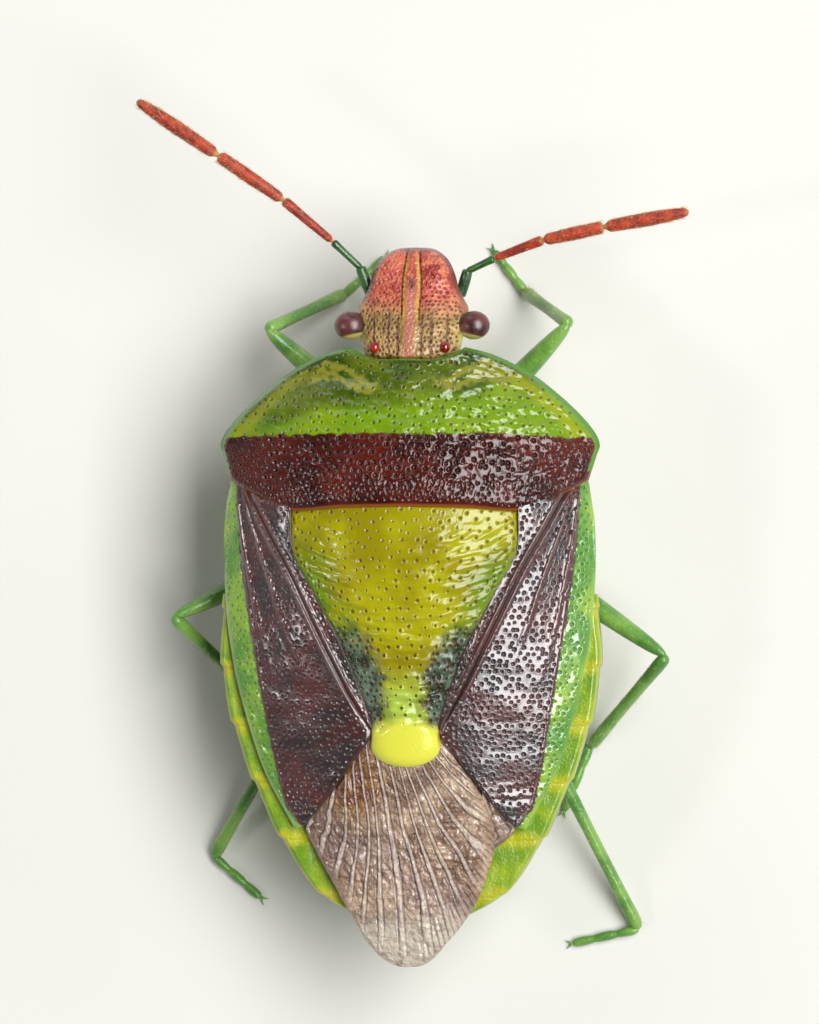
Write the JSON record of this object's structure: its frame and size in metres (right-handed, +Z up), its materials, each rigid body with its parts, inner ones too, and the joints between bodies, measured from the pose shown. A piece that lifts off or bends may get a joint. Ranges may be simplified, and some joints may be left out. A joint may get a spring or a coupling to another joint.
{
  "type": "shield bug",
  "caption": "Still life-size model of a green and maroon shield bug with folded wings, standing on its feet with both antennae held forward.",
  "frame": {"origin": "middle of the foot of the box round the whole animal, at the level of its soles", "axes": "+Z up from the floor, -Y towards the head, +X towards the animal's left side"},
  "size_m": [0.0092, 0.0146, 0.0042],
  "materials": {
    "head": "glossy orange-red cuticle fading to cream at the base, pitted",
    "eye": "purplish maroon facets with a satin gloss",
    "pronotum": "glossy yellow-green in front, dark red-brown behind, pitted",
    "scutellum": "glossy olive-yellow with pits and a smooth lemon tip",
    "forewing": "glossy dark maroon with dense pits and a green outer strip",
    "membrane": "thin pinkish-brown wing membrane with pale veins",
    "limb": "glossy green, slightly translucent",
    "antenna": "red-orange with fine golden hairs",
    "underside": "satin yellow-green cuticle"
  },
  "bodies": {
    "root": {"head": "head", "eye_left": "eye", "eye_right": "eye", "rostrum": "limb", "pronotum": "pronotum", "scutellum": "scutellum", "clavus_left": "forewing", "corium_left": "forewing", "membrane_left": "membrane", "clavus_right": "forewing", "corium_right": "forewing", "membrane_right": "membrane", "thorax": "underside", "abdomen": "underside", "antenna_left_1": "limb", "antenna_left_2": "limb", "antenna_left_3": "antenna", "antenna_left_4": "antenna", "antenna_left_5": "antenna", "antenna_right_1": "limb", "antenna_right_2": "limb", "antenna_right_3": "antenna", "antenna_right_4": "antenna", "antenna_right_5": "antenna", "coxa_front_left": "underside", "femur_front_left": "limb", "tibia_front_left": "limb", "tarsus_front_left": "limb", "coxa_front_right": "underside", "femur_front_right": "limb", "tibia_front_right": "limb", "tarsus_front_right": "limb", "coxa_middle_left": "underside", "femur_middle_left": "limb", "tibia_middle_left": "limb", "tarsus_middle_left": "limb", "coxa_middle_right": "underside", "femur_middle_right": "limb", "tibia_middle_right": "limb", "tarsus_middle_right": "limb", "coxa_hind_left": "underside", "femur_hind_left": "limb", "tibia_hind_left": "limb", "tarsus_hind_left": "limb", "coxa_hind_right": "underside", "femur_hind_right": "limb", "tibia_hind_right": "limb", "tarsus_hind_right": "limb"}
  },
  "joints": []
}
